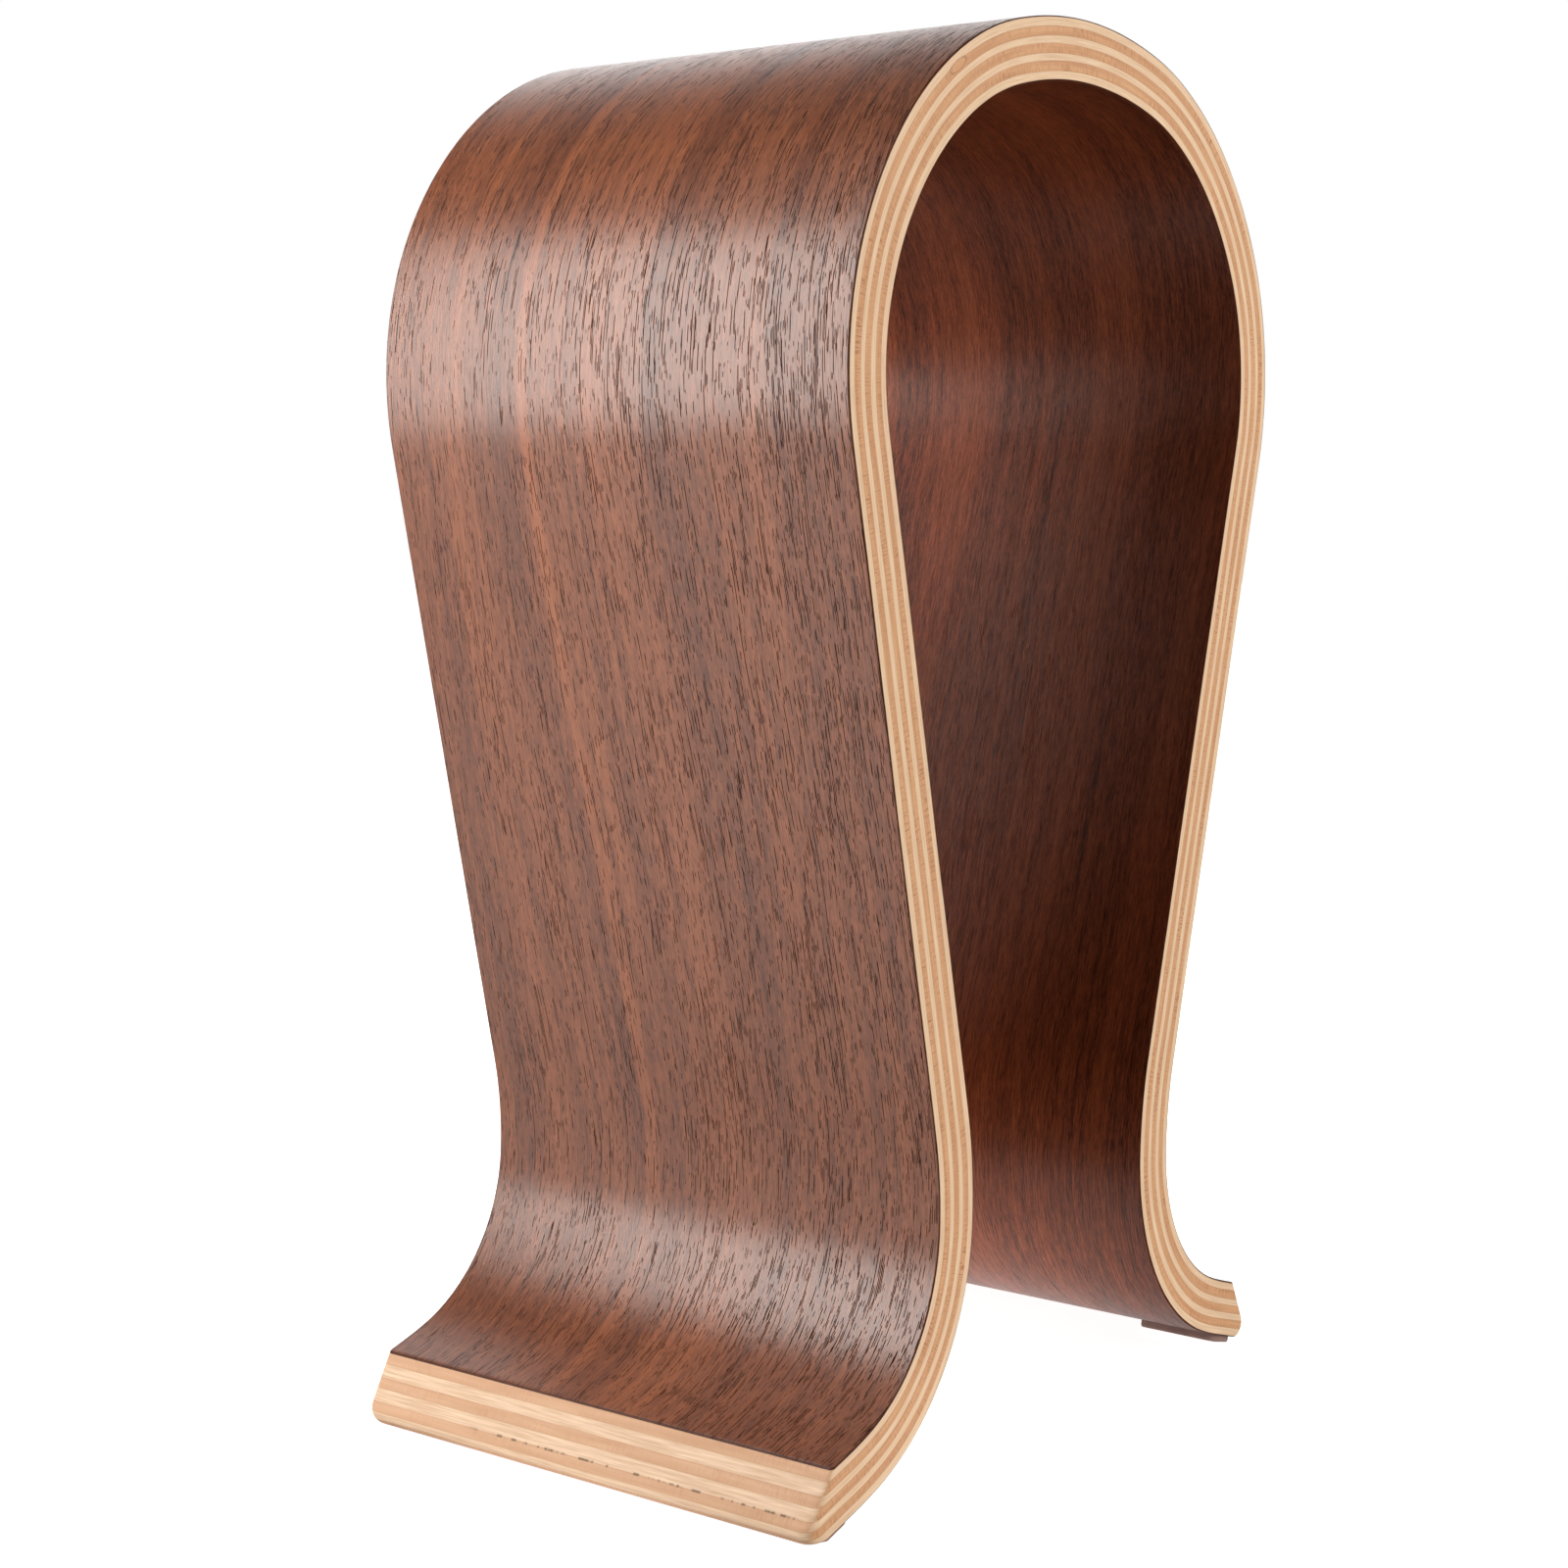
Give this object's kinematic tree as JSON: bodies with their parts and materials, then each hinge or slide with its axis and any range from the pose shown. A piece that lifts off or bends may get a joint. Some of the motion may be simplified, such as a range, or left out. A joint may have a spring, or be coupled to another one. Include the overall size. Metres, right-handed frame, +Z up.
{
  "type": "headphone stand",
  "caption": "Omega-shaped headphone stand bent from one moulded plywood sheet, walnut-faced, with splayed feet and thin anti-slip pads.",
  "frame": {"origin": "on the ground, under the middle of the stand", "axes": "+Z up to the crest of the loop, +X across the omega-shaped profile, +Y along the sheet's depth"},
  "size_m": [0.1574, 0.1, 0.2556],
  "materials": {
    "walnut_face": "satin, grain along the bend",
    "long_grain_ply": "sanded edge, long grain",
    "cross_grain_ply": "sanded edge, end grain",
    "pad_rubber": "matte"
  },
  "bodies": {
    "root": {"outer_walnut_veneer": "walnut_face", "inner_walnut_veneer": "walnut_face", "core_ply_1": "long_grain_ply", "core_ply_2": "cross_grain_ply", "core_ply_3": "long_grain_ply", "core_ply_4": "cross_grain_ply", "core_ply_5": "long_grain_ply", "core_ply_6": "cross_grain_ply", "core_ply_7": "long_grain_ply", "foot_pad_left_front": "pad_rubber", "foot_pad_left_back": "pad_rubber", "foot_pad_right_front": "pad_rubber", "foot_pad_right_back": "pad_rubber"}
  },
  "joints": []
}
